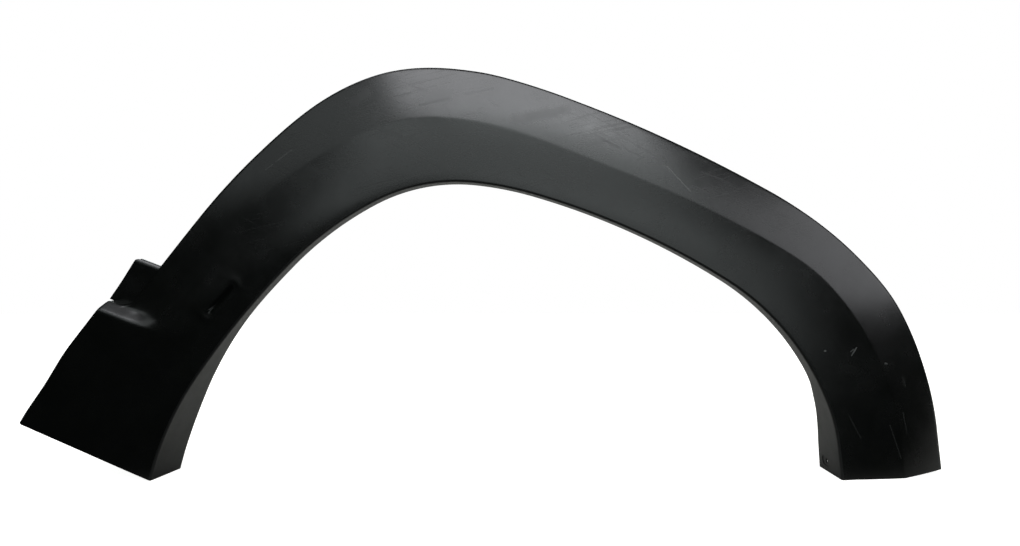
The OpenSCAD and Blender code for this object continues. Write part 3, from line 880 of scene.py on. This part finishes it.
def outward(piece):
    """Turns closed solids right side out and joins them to the part."""
    shape = bmesh.new()
    shape.from_mesh(piece.data)
    bmesh.ops.recalc_face_normals(shape, faces=shape.faces)
    shape.to_mesh(piece.data)
    shape.free()
    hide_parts("wheel_arch_trim")
    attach(piece, "root")


def web_width(s):
    """Width that the band's own section has at s, with the pad's flare on the wide leg."""
    return edge_band(s) if s > STEP_TOP + NOOK_S else pad_edge(s)


web_s = [(i + FIRST_CLIP + k / (WEBS_BETWEEN + 1)) * CLIP_PITCH
         for i in range(CLIP_COUNT - 1) for k in range(1, WEBS_BETWEEN + 1)]
webs = stations(
    "stiffening_webs", [(edge_at(s)[0], 0.0, edge_at(s)[1]) for s in web_s],
    turn=[across(s) for s in web_s],
    low=[(WALL - ROOT) * MM for s in web_s],
    high=[(web_width(s) - WALL + ROOT) * MM for s in web_s],
    rim_low=[(plan_bow(s) + FLANGE_SHARE * smooth_curve(FLANGE_ROWS, s) - PANEL_MIDDLE[1]) * MM
             for s in web_s],
    rim_high=[(face_depth(s, web_width(s)) + LIP_SHARE * LIP - PANEL_MIDDLE[1]) * MM
              for s in web_s])
sheet_tree = rooted_sheets()
by_nodes(webs, sheet_tree, {"Panel": panel, "Columns": 28, "Thickness": WEB_T * MM,
                            "Root": ROOT * MM, "Clearance": WEB_CLEARANCE * MM,
                            "Material": matte_black})
outward(webs)


# ---------------------------------------------------------------------------
# Clip seats
# Each is a slotted plate on two cheeks, moulded behind the band. A push clip
# slides into the slot from the outer side and pins the trim to the body.
# ---------------------------------------------------------------------------
CLIP_LEN, CLIP_W, CLIP_RISE, CLIP_WALL, CLIP_SLOT = 24.0, 20.0, 8.0, 2.0, 8.0
CLIP_SHARE, CLIP_LEDGE = 0.64, 0.5

clip_s = [(i + FIRST_CLIP) * CLIP_PITCH for i in range(CLIP_COUNT)]
clip_top = [face_depth(s, edge_band(s)) + CLIP_RISE for s in clip_s]


def cheek_rows(value):
    """One value for each cheek; value takes the seat's place, its top and the cheek's side."""
    return [value(s, top, side) for s, top in zip(clip_s, clip_top) for side in (-1, 1)]


def cheek_place(s, top, side):
    """Where a cheek stands on the opening's edge, to one side of its seat."""
    x, z = edge_at(s)[:2]
    shift, a = side * (CLIP_LEN / 2 - CLIP_WALL), across(s)
    return x - shift * math.sin(a), 0.0, z + shift * math.cos(a)


def cheek_rim(s, top, side):
    """Depth of a cheek's back edge, inside the plate that lies on it."""
    return (top - CLIP_WALL / 2 - PANEL_MIDDLE[1]) * MM


cheek_half = CLIP_W / 2 - CLIP_LEDGE
cheeks = stations(
    "clip_cheeks", cheek_rows(cheek_place),
    turn=cheek_rows(lambda s, top, side: across(s)),
    low=cheek_rows(lambda s, top, side: (CLIP_SHARE * edge_band(s) - cheek_half) * MM),
    high=cheek_rows(lambda s, top, side: (CLIP_SHARE * edge_band(s) + cheek_half) * MM),
    rim_low=cheek_rows(cheek_rim), rim_high=cheek_rows(cheek_rim))
by_nodes(cheeks, sheet_tree, {"Panel": panel, "Columns": 8, "Thickness": CLIP_WALL * MM,
                              "Root": ROOT * MM, "Clearance": 0.0, "Material": matte_black})
outward(cheeks)


def slotted_plates():
    """A flat outline, thickened and set at every station with its turn."""
    tree, given, made = node_group(
        "slotted_plates", "GeometryNodeTree",
        [("Outline", "NodeSocketGeometry", None), ("Stations", "NodeSocketObject", None),
         ("Thickness", "NodeSocketFloat", 0.002), ("Material", "NodeSocketMaterial", None)],
        [("Plates", "NodeSocketGeometry")])
    plate = thickened(tree, given["Outline"], (0.0, 1.0, 0.0), given["Thickness"])
    where = add(tree, "GeometryNodeObjectInfo", {"Object": given["Stations"]},
                transform_space="RELATIVE").outputs["Geometry"]
    turn = add(tree, "GeometryNodeInputNamedAttribute", {"Name": "turn"},
               data_type="FLOAT").outputs[0]
    turned = add(tree, "ShaderNodeCombineXYZ", {0: 0.0, 1: maths(tree, "MULTIPLY", turn, -1.0),
                                                2: 0.0})
    made_plates = add(tree, "GeometryNodeInstanceOnPoints",
                      {"Points": where, "Instance": plate, "Rotation": turned.outputs[0]})
    made_plates = add(tree, "GeometryNodeRealizeInstances", {"Geometry": made_plates.outputs[0]})
    finish = add(tree, "GeometryNodeSetMaterial", {"Geometry": made_plates.outputs[0],
                                                   "Material": given["Material"]})
    tree.links.new(finish.outputs[0], made["Plates"])
    return tree


def plate_place(s, top):
    """The middle of a seat's plate on the band."""
    reach, a = CLIP_SHARE * edge_band(s), across(s)
    return (edge_at(s)[0] + reach * math.cos(a), top - CLIP_WALL,
            edge_at(s)[1] + reach * math.sin(a))


plate_places = stations("clip_places", [plate_place(s, top) for s, top in zip(clip_s, clip_top)],
                        turn=[across(s) for s in clip_s])

# Half of the slot in (width, run) from its mouth to its round end, then the plate's outline
neck, side_run, end_run = CLIP_SLOT / 2, CLIP_W / 2, CLIP_LEN / 2
slot = [(side_run, neck * 2), (side_run - neck, neck)]
slot += [(neck * math.sin(a) - neck * 0.2, neck * math.cos(a))
         for a in [-math.pi * k / 12 for k in range(7)]]
plate_line = [(-side_run, end_run), (side_run, end_run), *slot,
              *[(w, -d) for w, d in slot[-2::-1]], (side_run, -end_run), (-side_run, -end_run)]
plate_mesh = new_mesh("clip_plates", [(w * MM, 0.0, -d * MM) for w, d in plate_line],
                      [tuple(range(len(plate_line)))])
plates = shown("clip_plates", plate_mesh)
by_nodes(plates, slotted_plates(), {"Stations": plate_places, "Thickness": CLIP_WALL * MM,
                                    "Material": matte_black})
bpy.data.objects.remove(plate_places)
outward(plates)


# ---------------------------------------------------------------------------
# Studio
# A pale paper floor under the feet, and eight soft lights in a darkened room.
# The camera sees the floor and the room as white; the trim mirrors little of it.
# ---------------------------------------------------------------------------
FLOOR_HALF, PAPER, BLACK_CARD = 4, (0.82, 0.8, 0.75, 1), (0.02, 0.02, 0.02, 1)
# Share of the room's white that the trim mirrors
MIRRORED_SHARE = 0.015
COOL, SKY, AIM = (0.955, 0.965, 1.0), (0.93, 1.0, 1.0), (0.0, 0.0, 0.3)


def seen_by_camera(tree):
    """One for the rays that draw the picture, and nothing for those that light or mirror."""
    rays = add(tree, "ShaderNodeLightPath").outputs
    return maths(tree, "MAXIMUM", rays["Is Camera Ray"], rays["Is Transmission Ray"])


def white_paper():
    """Paper that fades to plain white away from the part. It lies behind and below it, and
    what the face mirrors in front is a black card."""
    material = bpy.data.materials.new("white_paper")
    material.use_nodes = True
    tree = material.node_tree
    shader = tree.nodes["Principled BSDF"]
    shader.inputs["Roughness"].default_value = 1.0
    shader.inputs["Specular IOR Level"].default_value = 0.0
    shader.inputs["Emission Color"].default_value = (1, 1, 1, 1)
    position, seen = add(tree, "ShaderNodeTexCoord").outputs["Object"], seen_by_camera(tree)
    glow = ranged(tree, vectors(tree, "LENGTH", position), 0.8, 2.4, 0.8, 1.05)
    tree.links.new(maths(tree, "MULTIPLY", seen, glow), shader.inputs["Emission Strength"])
    depth = add(tree, "ShaderNodeSeparateXYZ", {0: position}).outputs[1]
    lit = maths(tree, "MAXIMUM", ranged(tree, depth, -0.10, 0.10), seen)
    colour = add(tree, "ShaderNodeMix", {"Factor": lit, "A": BLACK_CARD, "B": PAPER},
                 data_type="RGBA")
    tree.links.new(colour.outputs["Result"], shader.inputs["Base Color"])
    return material


floor_mesh = new_mesh("studio_floor", [(-FLOOR_HALF, -FLOOR_HALF, 0), (FLOOR_HALF, -FLOOR_HALF, 0),
                                       (FLOOR_HALF, FLOOR_HALF, 0), (-FLOOR_HALF, FLOOR_HALF, 0)],
                      [(0, 1, 2, 3)])
floor_mesh.materials.append(white_paper())
studio_floor = shown("studio_floor", floor_mesh)


def soft_light(name, place_at, size, power, colour):
    """A rectangular light that looks at the trim."""
    data = bpy.data.lights.new(name, "AREA")
    data.shape = "RECTANGLE"
    data.size, data.size_y = size
    data.energy = power
    data.color = colour
    lamp = shown(name, data)
    lamp.location = place_at
    lamp.rotation_euler = (Vector(AIM) - Vector(place_at)).to_track_quat("-Z", "Y").to_euler()


soft_light("overhead_softbox", (0.246, -1.157, 2.838), (2.4, 1.25), 52.5, COOL)
soft_light("upper_left_panel", (-1.260, -1.613, 2.210), (2.2, 1.30), 8.0, SKY)
soft_light("upper_right_panel", (0.697, -1.816, 2.314), (2.04, 1.00), 14.5, SKY)
soft_light("front_panel", (0.0, -2.517, 1.527), (2.85, 1.10), 13.4, SKY)
soft_light("low_front_panel", (0.674, -2.702, 0.593), (2.1, 1.10), 8.0, SKY)
soft_light("right_softbox", (2.365, -0.861, 1.527), (1.95, 1.35), 17.5, COOL)
soft_light("zenith_panel", (-0.75, 0.1, 2.6), (1.6, 1.0), 3.0, COOL)
soft_light("back_panel", (-0.3, 2.4, 1.5), (2.6, 1.2), 30.0, SKY)

world = bpy.data.worlds.new("white_studio")
bpy.context.scene.world = world
world.use_nodes = True
room = world.node_tree
background = room.nodes["Background"]
background.inputs["Color"].default_value = (1, 1, 1, 1)
room.links.new(maths(room, "MAXIMUM", seen_by_camera(room), MIRRORED_SHARE),
               background.inputs["Strength"])


# ---------------------------------------------------------------------------
# Camera
# It looks level at the trim's face from a metre away, from a little right of
# the middle and half the trim's height above the floor.
# ---------------------------------------------------------------------------
camera_data = bpy.data.cameras.new("camera")
camera_data.lens = 30.69
camera_data.sensor_width = 36.0
camera = shown("camera", camera_data)
camera.location = (0.0260, -1.0416, 0.2412)
camera.rotation_euler = (math.pi / 2, 0, 0)
bpy.context.scene.camera = camera

bpy.context.scene.view_settings.view_transform = "Standard"
